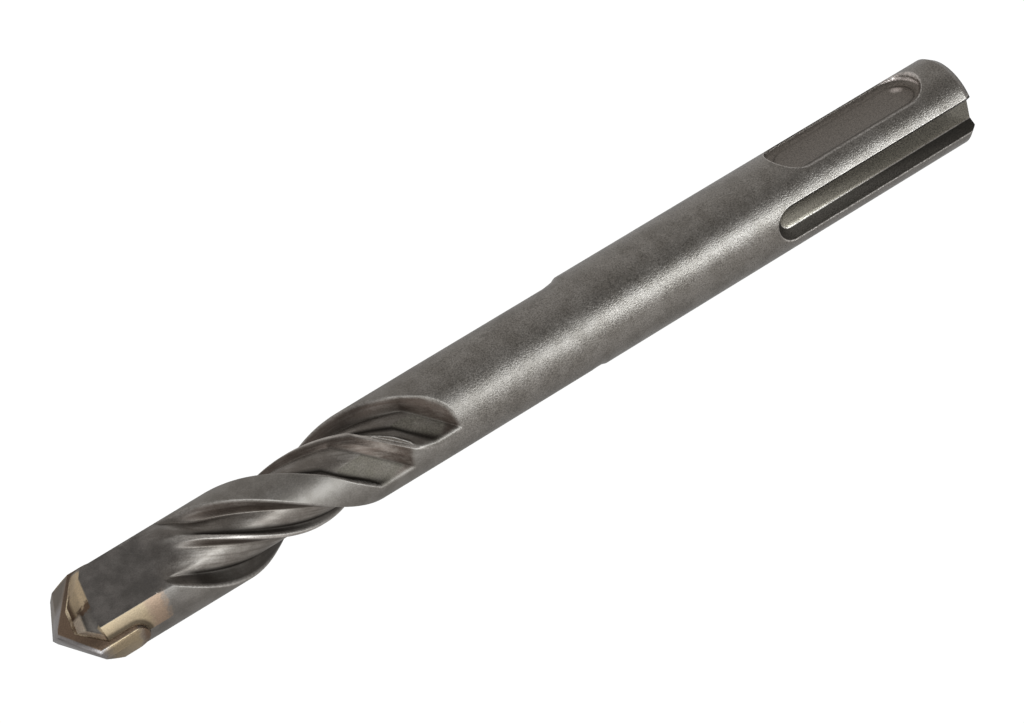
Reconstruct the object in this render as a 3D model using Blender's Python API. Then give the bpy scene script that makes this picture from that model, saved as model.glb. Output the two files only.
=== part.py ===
"""SDS-plus masonry drill bit, 10 mm by 110 mm, standing on the end of its shank.

The bit is a steel body (shank, plain neck, flutes and head) with a carbide plate brazed into a slot
across the head. Z is the bit's axis. The centre of the shank's flat end face is at the origin and the
point is up. The pair of open drive grooves lies on X and the pair of closed locking grooves on Y.
"""
import math
from collections import namedtuple

import bmesh
import bpy
from mathutils import Matrix, Vector

MM = 0.001
DEG = math.radians(1.0)
TURN = 2.0 * math.pi

# Heights along the axis, from the flat end of the shank
OVERALL_LENGTH = 110.0 * MM
SHANK_LENGTH = 48.2 * MM

# Turned blank. The body past the step sits a little off the shank's centre, and is thinner than the hole
# it drills, above all at the head, so that only the carbide plate cuts.
SHANK_DIAMETER = 10.0 * MM
DRILL_DIAMETER = 10.0 * MM
PLATE_STANDOUT = 0.25 * MM
BODY_DIAMETER = DRILL_DIAMETER - 2.0 * PLATE_STANDOUT
HEAD_DIAMETER = BODY_DIAMETER - 0.3 * MM
END_CHAMFER_LENGTH = 0.79 * MM
END_CHAMFER_DEPTH = 0.52 * MM
STEP_FILLET_LENGTH = 1.9 * MM
STEP_FILLET_SHARE = 0.5
STEP_FILLET_STEPS = 4
BODY_OFFCENTRE = 0.13 * MM
BODY_OFFCENTRE_ANGLE = -53.0 * DEG
BLANK_FACETS = 72
SHARP_EDGE_ANGLE = 30.0 * DEG

# Open drive grooves, a pair milled in from the end of the shank
DRIVE_GROOVE_LENGTH = 26.2 * MM
DRIVE_GROOVE_FLOOR_WIDTH = 2.1 * MM
DRIVE_GROOVE_MOUTH_WIDTH = 4.15 * MM
DRIVE_GROOVE_FLOOR_RADIUS = 3.45 * MM
DRIVE_GROOVE_END_SIDES = 12

# Closed locking grooves, a pair with round ends
LOCK_GROOVE_START = 3.45 * MM
LOCK_GROOVE_LENGTH = 19.35 * MM
LOCK_GROOVE_WIDTH = 5.95 * MM
LOCK_GROOVE_FLOOR_RADIUS = 3.6 * MM
LOCK_GROOVE_CORNER = 0.75 * MM
LOCK_GROOVE_CORNER_STEPS = 3
LOCK_GROOVE_END_SIDES = 16

# Flutes. A land, a wide flute, a low ridge and a narrow flute make half a turn. Their angles are
# those at the phase height. Both flutes leave a round core between a steep wall and a short slope,
# which sags by a small share of its width, and the ridge keeps a narrow crest.
FLUTED_FROM = 65.9 * MM
FLUTE_LEAD = 40.0 * MM
FLUTE_PHASE_HEIGHT = FLUTED_FROM + 19.1 * MM
LAND_START_ANGLE = 32.9 * DEG
LAND_WIDTH = 45.0 * DEG
WIDE_FLUTE_WIDTH = 75.0 * DEG
NARROW_FLUTE_WIDTH = math.pi - LAND_WIDTH - WIDE_FLUTE_WIDTH
CORE_RADIUS = 3.05 * MM
RIDGE_RADIUS = 3.85 * MM
RIDGE_CREST_ANGLE = 7.0 * DEG
RIDGE_OVERCUT_ANGLE = 1.0 * DEG
WALL_FOOT_ANGLE = 11.0 * DEG
WIDE_CREASE_ANGLE = 65.0 * DEG
NARROW_CREASE_ANGLE = 51.0 * DEG
RIDGE_LEAN = 4.0 * DEG
NARROW_OUTER_LEAN = 14.8 * DEG
SLOPE_SAG = 0.06
SLOPE_SIDES = 2
FLUTE_STEP = 0.55 * MM
FLOOR_SIDES = 5
CUT_CLEARANCE = 1.4 * MM

# Flute pockets. The flutes end in straight pockets whose flat floors come out through the round
# surface. The lines of a flute leave the helix one by one at these heights, and then run straight.
WIDE_POCKET_ANGLE = 33.5 * DEG
WIDE_WALL_LEAVES = FLUTED_FROM + 14.4 * MM
WIDE_CREASE_LEAVES = FLUTED_FROM + 12.3 * MM
RIDGE_LEAVES = FLUTED_FROM + 10.1 * MM
WIDE_POCKET_SLOPE = 0.92
RIDGE_RISE = 0.287
NARROW_POCKET_ANGLE = 51.5 * DEG
NARROW_WALL_LEAVES = FLUTED_FROM + 6.0 * MM
NARROW_CREASE_LEAVES = FLUTED_FROM + 4.3 * MM
NARROW_POCKET_SLOPE = 1.12
NARROW_SLOPE_LEAVES = FLUTED_FROM + 2.5 * MM
NARROW_EDGE_SLOPE = 1.36
NARROW_EDGE_RISE = -0.145
NARROW_OUTER_SLOPE = 1.8
NARROW_RIDGE_SLOPE = 0.975
WIDE_POCKET_LENGTH = 9.8 * MM
NARROW_POCKET_LENGTH = 6.8 * MM

# Head, measured back from the point: two flats beside the carbide plate, the place where the narrow
# flutes run out, and the steel's ground ends
PLATE_ANGLE = -17.0 * DEG
HEAD_FLAT_RADIUS = 2.96 * MM
HEAD_FLAT_LENGTH = 11.2 * MM
HEAD_FLAT_RUNOUT = 4.0 * MM
NARROW_FLUTE_STOP = 13.2 * MM
NARROW_RUNOUT_LENGTH = 5.0 * MM
NARROW_RUNOUT_GROWTH = 0.62
CHEEK_SETBACK = 4.2 * MM
CHEEK_SLOPE = 1.6
CHEEK_SKEW = -0.235
RAKE_SETBACK = 0.15 * MM
RAKE_SKEW = 0.77
RAKE_SLOPE = 0.3
HEEL_SETBACK = -0.3 * MM
HEEL_SKEW = 0.75
HEEL_SLOPE = -1.05

# Carbide plate, and the brazing alloy between it and its slot
PLATE_THICKNESS = 2.85 * MM
SLOT_LENGTH = 7.7 * MM
BRAZE_THICKNESS = 0.18 * MM
FIT_GAP = 0.02 * MM
POINT_SLOPE = 0.53
CUTTING_EDGE_LEAD = 1.05 * MM
RELIEF_SLOPE = 0.40
EDGE_BEVEL_SLOPE = 1.3
BACK_RELIEF_SETBACK = -1.26 * MM
BACK_RELIEF_SKEW = 0.80
BACK_RELIEF_SLOPE = -1.37
PLATE_SIDES = 14

# A line along a flute, at this radius and angle on the helix. Below the height where it leaves the
# helix it runs straight in the pocket's flat frame, moving across and out by these slopes.
FluteLine = namedtuple("FluteLine", "radius angle leaves slope rise")


def clear_scene():
    for obj in list(bpy.data.objects):
        bpy.data.objects.remove(obj, do_unlink=True)


def make_material(name, colour, roughness, metallic):
    material = bpy.data.materials.new(name)
    material.use_nodes = True
    shader = material.node_tree.nodes["Principled BSDF"]
    shader.inputs["Base Color"].default_value = (*colour, 1.0)
    shader.inputs["Roughness"].default_value = roughness
    shader.inputs["Metallic"].default_value = metallic
    material.diffuse_color = (*colour, 1.0)
    return material


def polar(radius, angle, height=0.0):
    return Vector((radius * math.cos(angle), radius * math.sin(angle), height))


def arc(centre, radius, start, end, sides):
    """Points of an arc in a plane, both ends included."""
    angles = [start + (end - start) * step / sides for step in range(sides + 1)]
    return [(centre[0] + radius * math.cos(a), centre[1] + radius * math.sin(a)) for a in angles]


def loft(bm, sections):
    """Join equal closed sections by quads and close both ends."""
    rows = [[bm.verts.new(point) for point in section] for section in sections]
    count = len(rows[0])
    for low, high in zip(rows, rows[1:]):
        for index in range(count):
            after = (index + 1) % count
            bm.faces.new((low[index], low[after], high[after], high[index]))
    bm.faces.new(rows[0])
    bm.faces.new(rows[-1])


def repeat_opposite(bm):
    """Repeat everything in the mesh half a turn round the axis."""
    copied = bmesh.ops.duplicate(bm, geom=bm.verts[:] + bm.edges[:] + bm.faces[:])
    verts = [item for item in copied["geom"] if isinstance(item, bmesh.types.BMVert)]
    bmesh.ops.rotate(bm, verts=verts, cent=(0, 0, 0), matrix=Matrix.Rotation(math.pi, 3, "Z"))


def finish_object(bm, name, material=None):
    """Make the mesh an object. One with no material is a cutter."""
    bmesh.ops.recalc_face_normals(bm, faces=bm.faces)
    mesh = bpy.data.meshes.new(name)
    bm.to_mesh(mesh)
    bm.free()
    obj = bpy.data.objects.new(name, mesh)
    bpy.context.collection.objects.link(obj)
    if material:
        mesh.materials.append(material)
        mesh.shade_smooth()
        mesh.set_sharp_from_angle(angle=SHARP_EDGE_ANGLE)
    else:
        obj.hide_render = True
        obj.display_type = "WIRE"
    return obj


def subtract(target, cutter):
    modifier = target.modifiers.new(cutter.name, "BOOLEAN")
    modifier.operation = "DIFFERENCE"
    modifier.solver = "EXACT"
    modifier.object = cutter


def body_offset():
    return polar(BODY_OFFCENTRE, BODY_OFFCENTRE_ANGLE)


def head_frame():
    """The head's own frame: X along the cutting edges, Y through the plate, Z the bit's axis."""
    return Matrix.Translation(body_offset()) @ Matrix.Rotation(PLATE_ANGLE, 4, "Z")


def grind_front(bm, skew, slope, height):
    """Grind both halves of the head's front, half a turn apart, to a plane through this height."""
    for side in (1.0, -1.0):
        geometry = bm.verts[:] + bm.edges[:] + bm.faces[:]
        normal = Vector((side * skew, side * slope, 1.0))
        cut = bmesh.ops.bisect_plane(bm, geom=geometry, plane_co=(0, 0, height), plane_no=normal,
                                     clear_outer=True)
        rim = [item for item in cut["geom_cut"] if isinstance(item, bmesh.types.BMEdge)]
        bmesh.ops.holes_fill(bm, edges=rim)


def grind_cheeks(bm):
    """Grind the steel beside the plate: a bevel on its free side, the rake at the cutting edge, and
    the heel behind it."""
    flat_end = OVERALL_LENGTH - CHEEK_SETBACK
    grind_front(bm, CHEEK_SKEW, CHEEK_SLOPE, flat_end + CHEEK_SLOPE * HEAD_FLAT_RADIUS)
    plate_side = PLATE_THICKNESS / 2
    grind_front(bm, RAKE_SKEW, RAKE_SLOPE, OVERALL_LENGTH - RAKE_SETBACK + RAKE_SLOPE * plate_side)
    grind_front(bm, HEEL_SKEW, HEEL_SLOPE, OVERALL_LENGTH - HEEL_SETBACK)


# Turned blank

def blank_profile():
    """Half section of the blank as (radius, height), from the shank's end to the front."""
    shank_radius = SHANK_DIAMETER / 2
    body_radius = BODY_DIAMETER / 2
    step = shank_radius - body_radius
    profile = [(0.0, 0.0), (shank_radius - END_CHAMFER_DEPTH, 0.0), (shank_radius, END_CHAMFER_LENGTH)]
    profile.append((shank_radius, SHANK_LENGTH))
    for index in range(1, STEP_FILLET_STEPS + 1):
        share = index / STEP_FILLET_STEPS
        radius = body_radius + step * STEP_FILLET_SHARE * (1.0 - share) ** 2
        profile.append((radius, SHANK_LENGTH + STEP_FILLET_LENGTH * share))
    profile.append((body_radius, FLUTED_FROM))
    profile.append((HEAD_DIAMETER / 2, OVERALL_LENGTH))
    profile.append((0.0, OVERALL_LENGTH))
    return profile


def make_blank(material):
    """Spin the half section, shift the body off the shank's centre and grind the front."""
    bm = bmesh.new()
    verts = [bm.verts.new(polar(radius, 0.0, height)) for radius, height in blank_profile()]
    edges = [bm.edges.new(pair) for pair in zip(verts, verts[1:])]
    bmesh.ops.spin(bm, geom=verts + edges, cent=(0, 0, 0), axis=(0, 0, 1), angle=TURN,
                   steps=BLANK_FACETS, use_merge=True)
    bmesh.ops.remove_doubles(bm, verts=bm.verts, dist=0.001 * MM)
    for vert in bm.verts:
        share = (vert.co.z - SHANK_LENGTH) / STEP_FILLET_LENGTH
        vert.co += body_offset() * min(max(share, 0.0), 1.0)
    bm.transform(head_frame().inverted())
    grind_cheeks(bm)
    bm.transform(head_frame())
    return finish_object(bm, "steel_body", material)


# Shank grooves

def drive_groove_cutter():
    """Trapezoid groove, open at the shank's end and rounded off at the other."""
    shank_radius = SHANK_DIAMETER / 2
    floor_half = DRIVE_GROOVE_FLOOR_WIDTH / 2
    mouth_half = DRIVE_GROOVE_MOUTH_WIDTH / 2
    mouth_radius = math.sqrt(shank_radius ** 2 - mouth_half ** 2)
    widening = (mouth_half - floor_half) / (mouth_radius - DRIVE_GROOVE_FLOOR_RADIUS)
    bm = bmesh.new()
    sections = []
    for radius in (DRIVE_GROOVE_FLOOR_RADIUS, shank_radius + CUT_CLEARANCE):
        half = floor_half + widening * (radius - DRIVE_GROOVE_FLOOR_RADIUS)
        end_centre = (0.0, DRIVE_GROOVE_LENGTH - mouth_half)
        outline = arc(end_centre, half, math.pi, 0.0, DRIVE_GROOVE_END_SIDES)
        outline += [(half, -CUT_CLEARANCE), (-half, -CUT_CLEARANCE)]
        sections.append([Vector((radius, across, height)) for across, height in outline])
    loft(bm, sections)
    repeat_opposite(bm)
    return finish_object(bm, "drive_groove_cutter")


def lock_groove_cutter():
    """Round-ended pocket whose walls curve into its floor."""
    wall_half = LOCK_GROOVE_WIDTH / 2
    low = LOCK_GROOVE_START + wall_half
    high = LOCK_GROOVE_START + LOCK_GROOVE_LENGTH - wall_half
    levels = []
    for index in range(LOCK_GROOVE_CORNER_STEPS + 1):
        turn = math.pi / 2 * index / LOCK_GROOVE_CORNER_STEPS
        inset = LOCK_GROOVE_CORNER * (1.0 - math.sin(turn))
        rise = LOCK_GROOVE_CORNER * (1.0 - math.cos(turn))
        levels.append((wall_half - inset, LOCK_GROOVE_FLOOR_RADIUS + rise))
    levels.append((wall_half, SHANK_DIAMETER / 2 + CUT_CLEARANCE))
    bm = bmesh.new()
    sections = []
    for half, radius in levels:
        outline = arc((0.0, low), half, -math.pi, 0.0, LOCK_GROOVE_END_SIDES)
        outline += arc((0.0, high), half, 0.0, math.pi, LOCK_GROOVE_END_SIDES)
        sections.append([Vector((across, radius, height)) for across, height in outline])
    loft(bm, sections)
    repeat_opposite(bm)
    return finish_object(bm, "lock_groove_cutter")


# Flutes

def helix_angle(height):
    return TURN * (height - FLUTE_PHASE_HEIGHT) / FLUTE_LEAD


class Pocket:
    """The flat frame of a flute's pocket: across runs along its floor, out is square to it."""

    def __init__(self, angle):
        self.out = polar(1.0, angle)
        self.across = polar(1.0, angle - math.pi / 2)

    def read(self, point):
        return Vector((point.dot(self.across), point.dot(self.out)))

    def place(self, flat, height):
        return self.across * flat.x + self.out * flat.y + Vector((0.0, 0.0, height))


def line_point(line, start_angle, pocket, height):
    turning = max(height, line.leaves)
    on_helix = polar(line.radius, start_angle + line.angle + helix_angle(turning))
    return pocket.read(on_helix) + Vector((line.slope, line.rise)) * (turning - height)


def on_floor(across):
    """The floor is the round core, and beyond the middle of the pocket the flat that leaves it."""
    if across >= 0.0:
        return Vector((across, CORE_RADIUS))
    return Vector((across, math.sqrt(max(CORE_RADIUS ** 2 - across ** 2, 0.0))))


def floor_points(foot, crease, start_angle, pocket, height):
    """Points across the floor, from the foot of the wall to the crease."""
    points = []
    for step in range(FLOOR_SIDES + 1):
        share = step / FLOOR_SIDES
        if height < foot.leaves:
            near = line_point(foot, start_angle, pocket, height).x
            far = line_point(crease, start_angle, pocket, height).x
            points.append(on_floor(near + (far - near) * share))
        else:
            angle = start_angle + foot.angle + (crease.angle - foot.angle) * share
            points.append(pocket.read(polar(CORE_RADIUS, angle + helix_angle(height))))
    return points


def sagging_points(low, high):
    """Points between the ends of a slope, which sags a little below the straight line."""
    along = high - low
    inward = Vector((-along.y, along.x)) * SLOPE_SAG
    shares = [step / SLOPE_SIDES for step in range(1, SLOPE_SIDES)]
    return [low + along * share + inward * 4.0 * share * (1.0 - share) for share in shares]


def flute_section(lines, start_angle, pocket, height):
    """One section of a flute's cutter: wall, floor and slope, closed by two points outside the body."""
    wall_out, wall_top, foot, crease, *slope_lines = lines
    wall = [line_point(line, start_angle, pocket, height) for line in (wall_out, wall_top)]
    floor = floor_points(foot, crease, start_angle, pocket, height)
    slope = [line_point(line, start_angle, pocket, height) for line in slope_lines]
    away = (slope[-1] + wall[0]).normalized() * BODY_DIAMETER / 2
    flat = wall + floor + sagging_points(floor[-1], slope[0]) + slope
    flat += [slope[-1] + away, wall[0] + away]
    return [pocket.place(point, height) for point in flat]


def run_out(section, share):
    """Swing a section of the narrow flute's cutter out of the metal by this share."""
    growth = 1.0 + NARROW_RUNOUT_GROWTH * max(share, 0.0) ** 2
    return [Vector((point.x * growth, point.y * growth, point.z)) for point in section]


def flute_cutter(name, lines, start_angle, pocket, bottom, top, runout_length=None):
    steps = math.ceil((top - bottom) / FLUTE_STEP)
    heights = [bottom + (top - bottom) * step / steps for step in range(steps + 1)]
    sections = [flute_section(lines, start_angle, pocket, height) for height in heights]
    if runout_length:
        shares = [1.0 - (top - height) / runout_length for height in heights]
        sections = [run_out(section, share) for section, share in zip(sections, shares)]
    bm = bmesh.new()
    loft(bm, sections)
    bmesh.ops.triangulate(bm, faces=bm.faces)
    repeat_opposite(bm)
    bm.transform(Matrix.Translation(body_offset()))
    return finish_object(bm, name)


def wide_flute_cutter():
    body_radius = BODY_DIAMETER / 2
    outer_radius = body_radius + CUT_CLEARANCE
    lean = WALL_FOOT_ANGLE * CUT_CLEARANCE / (body_radius - CORE_RADIUS)
    crest_end = WIDE_FLUTE_WIDTH + RIDGE_CREST_ANGLE + RIDGE_OVERCUT_ANGLE
    lines = [
        FluteLine(outer_radius, -lean, WIDE_WALL_LEAVES, WIDE_POCKET_SLOPE, 0.0),
        FluteLine(body_radius, 0.0, WIDE_WALL_LEAVES, WIDE_POCKET_SLOPE, 0.0),
        FluteLine(CORE_RADIUS, WALL_FOOT_ANGLE, WIDE_WALL_LEAVES, WIDE_POCKET_SLOPE, 0.0),
        FluteLine(CORE_RADIUS, WIDE_CREASE_ANGLE, WIDE_CREASE_LEAVES, WIDE_POCKET_SLOPE, 0.0),
        FluteLine(RIDGE_RADIUS, WIDE_FLUTE_WIDTH, RIDGE_LEAVES, WIDE_POCKET_SLOPE, RIDGE_RISE),
        FluteLine(RIDGE_RADIUS, crest_end, RIDGE_LEAVES, WIDE_POCKET_SLOPE, RIDGE_RISE),
        FluteLine(outer_radius, crest_end + RIDGE_LEAN, RIDGE_LEAVES, WIDE_POCKET_SLOPE, RIDGE_RISE),
    ]
    start = LAND_START_ANGLE + LAND_WIDTH
    bottom = WIDE_WALL_LEAVES - WIDE_POCKET_LENGTH
    top = OVERALL_LENGTH - HEAD_FLAT_LENGTH
    return flute_cutter("wide_flute_cutter", lines, start, Pocket(WIDE_POCKET_ANGLE), bottom, top)


def narrow_flute_cutter():
    body_radius = BODY_DIAMETER / 2
    outer_radius = body_radius + CUT_CLEARANCE
    lines = [
        FluteLine(outer_radius, RIDGE_CREST_ANGLE - RIDGE_LEAN, RIDGE_LEAVES, NARROW_RIDGE_SLOPE, 0.0),
        FluteLine(RIDGE_RADIUS, RIDGE_CREST_ANGLE, RIDGE_LEAVES, NARROW_RIDGE_SLOPE, 0.0),
        FluteLine(CORE_RADIUS, WALL_FOOT_ANGLE, NARROW_WALL_LEAVES, NARROW_POCKET_SLOPE, 0.0),
        FluteLine(CORE_RADIUS, NARROW_CREASE_ANGLE, NARROW_CREASE_LEAVES, NARROW_POCKET_SLOPE, 0.0),
        FluteLine(body_radius, NARROW_FLUTE_WIDTH, NARROW_SLOPE_LEAVES, NARROW_EDGE_SLOPE,
                  NARROW_EDGE_RISE),
        FluteLine(outer_radius, NARROW_FLUTE_WIDTH + NARROW_OUTER_LEAN, NARROW_SLOPE_LEAVES,
                  NARROW_OUTER_SLOPE, NARROW_EDGE_RISE),
    ]
    start = LAND_START_ANGLE + LAND_WIDTH + WIDE_FLUTE_WIDTH
    bottom = NARROW_WALL_LEAVES - NARROW_POCKET_LENGTH
    top = OVERALL_LENGTH - NARROW_FLUTE_STOP
    return flute_cutter("narrow_flute_cutter", lines, start, Pocket(NARROW_POCKET_ANGLE), bottom, top,
                        NARROW_RUNOUT_LENGTH)


# Head

def head_flat_cutter():
    """Flat beside the plate, running out at the back."""
    reach = DRILL_DIAMETER
    back = OVERALL_LENGTH - HEAD_FLAT_LENGTH
    outside = DRILL_DIAMETER / 2 + CUT_CLEARANCE
    runout_slope = HEAD_FLAT_RUNOUT / (BODY_DIAMETER / 2 - HEAD_FLAT_RADIUS)
    top = OVERALL_LENGTH + CUT_CLEARANCE
    outline = [(HEAD_FLAT_RADIUS, top), (HEAD_FLAT_RADIUS, back)]
    outline += [(outside, back - runout_slope * (outside - HEAD_FLAT_RADIUS)), (outside, top)]
    bm = bmesh.new()
    loft(bm, [[Vector((across, depth, height)) for depth, height in outline] for across in (-reach, reach)])
    repeat_opposite(bm)
    bm.transform(head_frame())
    return finish_object(bm, "head_flat_cutter")


def rounded_slab(half_thickness, foot, side_radius, top):
    """A plate with a full-round foot, and sides that follow a cylinder about the axis."""
    bm = bmesh.new()
    sections = []
    for step in range(PLATE_SIDES + 1):
        turn = math.pi * (step / PLATE_SIDES - 0.5)
        through = half_thickness * math.sin(turn)
        low = foot + half_thickness * (1.0 - math.cos(turn))
        across = math.sqrt(side_radius ** 2 - through ** 2)
        corners = ((-across, low), (across, low), (across, top), (-across, top))
        sections.append([Vector((x, through, z)) for x, z in corners])
    loft(bm, sections)
    return bm


def slot_inset(gap):
    """Half thickness and foot of a slab that is smaller than the slot by this gap all round."""
    slot_half = PLATE_THICKNESS / 2 + BRAZE_THICKNESS + 2.0 * FIT_GAP
    return slot_half - gap, OVERALL_LENGTH - SLOT_LENGTH + gap


def slot_cutter():
    half, foot = slot_inset(0.0)
    bm = rounded_slab(half, foot, DRILL_DIAMETER, OVERALL_LENGTH + CUT_CLEARANCE)
    bm.transform(head_frame())
    return finish_object(bm, "slot_cutter")


def make_plate(material):
    half, foot = slot_inset(BRAZE_THICKNESS + 2.0 * FIT_GAP)
    bm = rounded_slab(half, foot, DRILL_DIAMETER / 2, OVERALL_LENGTH + CUT_CLEARANCE)
    edge_top = OVERALL_LENGTH + RELIEF_SLOPE * CUTTING_EDGE_LEAD
    grind_front(bm, POINT_SLOPE, -RELIEF_SLOPE, OVERALL_LENGTH)
    grind_front(bm, POINT_SLOPE, EDGE_BEVEL_SLOPE, edge_top + EDGE_BEVEL_SLOPE * CUTTING_EDGE_LEAD)
    grind_front(bm, BACK_RELIEF_SKEW, BACK_RELIEF_SLOPE, OVERALL_LENGTH - BACK_RELIEF_SETBACK)
    bm.transform(head_frame())
    return finish_object(bm, "carbide_tip", material)


def make_braze(material):
    """The alloy that fills the slot round the plate, ground off level with the steel."""
    outer_half, outer_foot = slot_inset(FIT_GAP)
    bm = rounded_slab(outer_half, outer_foot, HEAD_DIAMETER / 2, OVERALL_LENGTH + CUT_CLEARANCE)
    grind_cheeks(bm)
    bm.transform(head_frame())
    braze = finish_object(bm, "braze_filler", material)
    inner_half, inner_foot = slot_inset(FIT_GAP + BRAZE_THICKNESS)
    inner = rounded_slab(inner_half, inner_foot, DRILL_DIAMETER, OVERALL_LENGTH + 2.0 * CUT_CLEARANCE)
    inner.transform(head_frame())
    subtract(braze, finish_object(inner, "plate_space_cutter"))


def main():
    clear_scene()
    steel = make_material("bead_blasted_steel", (0.28, 0.27, 0.26), 0.42, 0.9)
    carbide = make_material("sintered_carbide", (0.33, 0.29, 0.26), 0.35, 0.8)
    alloy = make_material("brazing_alloy", (0.55, 0.43, 0.26), 0.4, 0.9)
    body = make_blank(steel)
    for make_cutter in (wide_flute_cutter, narrow_flute_cutter, head_flat_cutter, slot_cutter,
                        drive_groove_cutter, lock_groove_cutter):
        subtract(body, make_cutter())
    make_plate(carbide)
    make_braze(alloy)


main()
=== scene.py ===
"""SDS-plus masonry drill bit, standing on the end of its shank, dressed and lit as in the photograph."""
import math

import bpy
import numpy as np
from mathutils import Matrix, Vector


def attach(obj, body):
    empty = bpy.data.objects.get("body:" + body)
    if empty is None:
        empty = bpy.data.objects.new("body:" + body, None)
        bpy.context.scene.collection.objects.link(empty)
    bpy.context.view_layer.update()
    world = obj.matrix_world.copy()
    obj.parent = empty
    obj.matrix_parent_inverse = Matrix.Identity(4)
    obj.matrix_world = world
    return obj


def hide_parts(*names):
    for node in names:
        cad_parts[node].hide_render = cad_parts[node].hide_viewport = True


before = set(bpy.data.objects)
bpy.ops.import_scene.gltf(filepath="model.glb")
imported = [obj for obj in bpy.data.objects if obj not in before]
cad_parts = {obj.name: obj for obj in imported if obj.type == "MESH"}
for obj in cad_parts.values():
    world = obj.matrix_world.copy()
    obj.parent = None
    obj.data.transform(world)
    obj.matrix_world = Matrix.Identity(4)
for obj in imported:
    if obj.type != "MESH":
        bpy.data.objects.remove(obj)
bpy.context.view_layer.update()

# Steel body: one bar of hardened tool steel, turned to a 10 mm shank and a 9.5 mm neck, with the shank
# grooves and the flutes milled in, then bead blasted. The milled flutes keep fine streaks and brown
# stains, and the head is heat stained beside the brazed plate.
MM = 0.001
DEG = math.radians(1.0)
STEEL_LIGHT = (0.300, 0.276, 0.250)
STEEL_DARK = (0.235, 0.214, 0.190)
STEEL_ROUGHNESS = 0.36

# Sizes of the turned bar, in millimetres. Its body sits a little off the shank's centre.
SHANK_RADIUS = 5.0
NECK_RADIUS = 4.75
NECK_FROM = 50.1
NECK_STEP_LENGTH = 2.0
HEAD_RADIUS = 4.6
OVERALL_LENGTH = 110.0
BODY_CENTRE = (0.0782, -0.1038)

# Sizes of the flutes, the same as in the solid: millimetres, and degrees at the phase height
FLUTES_FROM = 62.0
TAPER_FROM = 65.9
FLUTES_TO = 100.5
PHASE_HEIGHT = 85.0
DEGREES_PER_MM = 9.0
CORE_RADIUS = 3.05
RIDGE_RADIUS = 3.85
OUTER_RADIUS = 6.15
OUTER_LEAN = 9.06
CREST_ANGLE = 7.0
CREST_OVERCUT = 1.0
RIDGE_LEAN = 4.0
FOOT_ANGLE = 11.0
SLOPE_SAG = 0.06
WIDE_START = 77.9
WIDE_WIDTH = 75.0
WIDE_CREASE = 65.0
WIDE_POCKET_ANGLE = 33.5
WIDE_TOP = 98.8
WIDE_POCKET_TOP = 79.0
NARROW_START = 152.9
NARROW_WIDTH = 60.0
NARROW_CREASE = 51.0
NARROW_OUTER_LEAN = 14.8
NARROW_POCKET_ANGLE = 51.5
NARROW_POCKET_TOP = 72.0
NARROW_TOP = 96.8
RUNOUT_LENGTH = 5.0
RUNOUT_GROWTH = 0.62
HEAD_FLAT_ANGLE = 73.0
HEAD_FLAT_RADIUS = 2.96
HEAD_FLAT_FROM = 98.8
HEAD_FLAT_RUNOUT = 2.2346

# Heights where the lines of a flute leave its helix for the pocket, and how steeply they cross and rise
WIDE_WALL_LEAVES = 80.3
WIDE_CREASE_LEAVES = 78.2
WIDE_POCKET_SLOPE = 0.92
RIDGE_LEAVES = 76.0
RIDGE_RISE = 0.287
NARROW_WALL_LEAVES = 71.9
NARROW_CREASE_LEAVES = 70.2
NARROW_POCKET_SLOPE = 1.12
NARROW_RIDGE_SLOPE = 0.975
NARROW_EDGE_LEAVES = 68.4
NARROW_EDGE_SLOPE = 1.36
NARROW_EDGE_RISE = -0.145
NARROW_OUTER_SLOPE = 1.8

# The mesh of the fluted part: its grid, how far its edges are rounded, and the heights between which
# that fades in and out
COLUMNS = 340
ROWS = 227
EDGE_ROUNDING = 0.07
RUNOUT_ROUNDING = 0.7
ROUNDING_STARTS = (62.8, 63.5)
ROUNDING_ENDS = (99.4, 99.9)
RUNOUT_STARTS = (93.0, 97.0)
RUNOUT_ENDS = (99.6, 100.2)
RUNOUT_FACING = (0.62, 0.76)
LEAST_FACING = 0.3

# Points of a flute's section, counted from 0: the wall's edge and foot, the crease at the floor's far
# side, the slope's edge and the ridge's far edge
FLOOR_SIDES = 12
EDGE_POINT = 1
FOOT_POINT = 2
CREASE_POINT = FOOT_POINT + FLOOR_SIDES
SLOPE_POINT = CREASE_POINT + 2
RIDGE_POINT = SLOPE_POINT + 1

# Where painted shade and dirt lie in a flute: round its wall's foot, over its wall and in its crease, by
# height
FOOT_SHIFT = 3.0
FOOT_REACH = 0.36
WALL_REACH = 3.0
WALL_SHADE_AND_DIRT_HEIGHTS = (76.0, 84.0)
WALL_SHADE_AND_DIRT = (0.3, 0.82)
CREASE_REACH = 3.5
CREASE_SHADE_AND_DIRT_HEIGHTS = (76.0, 79.0)
CREASE_SHADE_AND_DIRT = (0.6, 0.0)
WIDEST_SLOPE = 60.0

# Pockets: angle, top, the height where the clean floor begins on the axis' plane, and its end's lean
POCKETS = ((WIDE_POCKET_ANGLE, WIDE_POCKET_TOP, 64.9, 2.9),
           (NARROW_POCKET_ANGLE, NARROW_POCKET_TOP, 63.6, 1.5))
FLOOR_TOLERANCE = 0.01
FLOOR_BEHIND = 0.25
CLEAN_FADE = 0.4

# How the fields for the material end and blur, in millimetres
MARKS_END = 1.0
MARKS_FADE = 2.0
CUT_FROM = 0.1
CUT_FADE = 0.2
FLUTE_TONE_ENDS = (98.0, 100.2)
FLOOR_BLUR = 0.06
SLOPE_BLUR = 0.12
RIDGE_BLUR = 0.08
CREST_BLUR = 0.12
CREST_HEIGHT = 0.06


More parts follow.
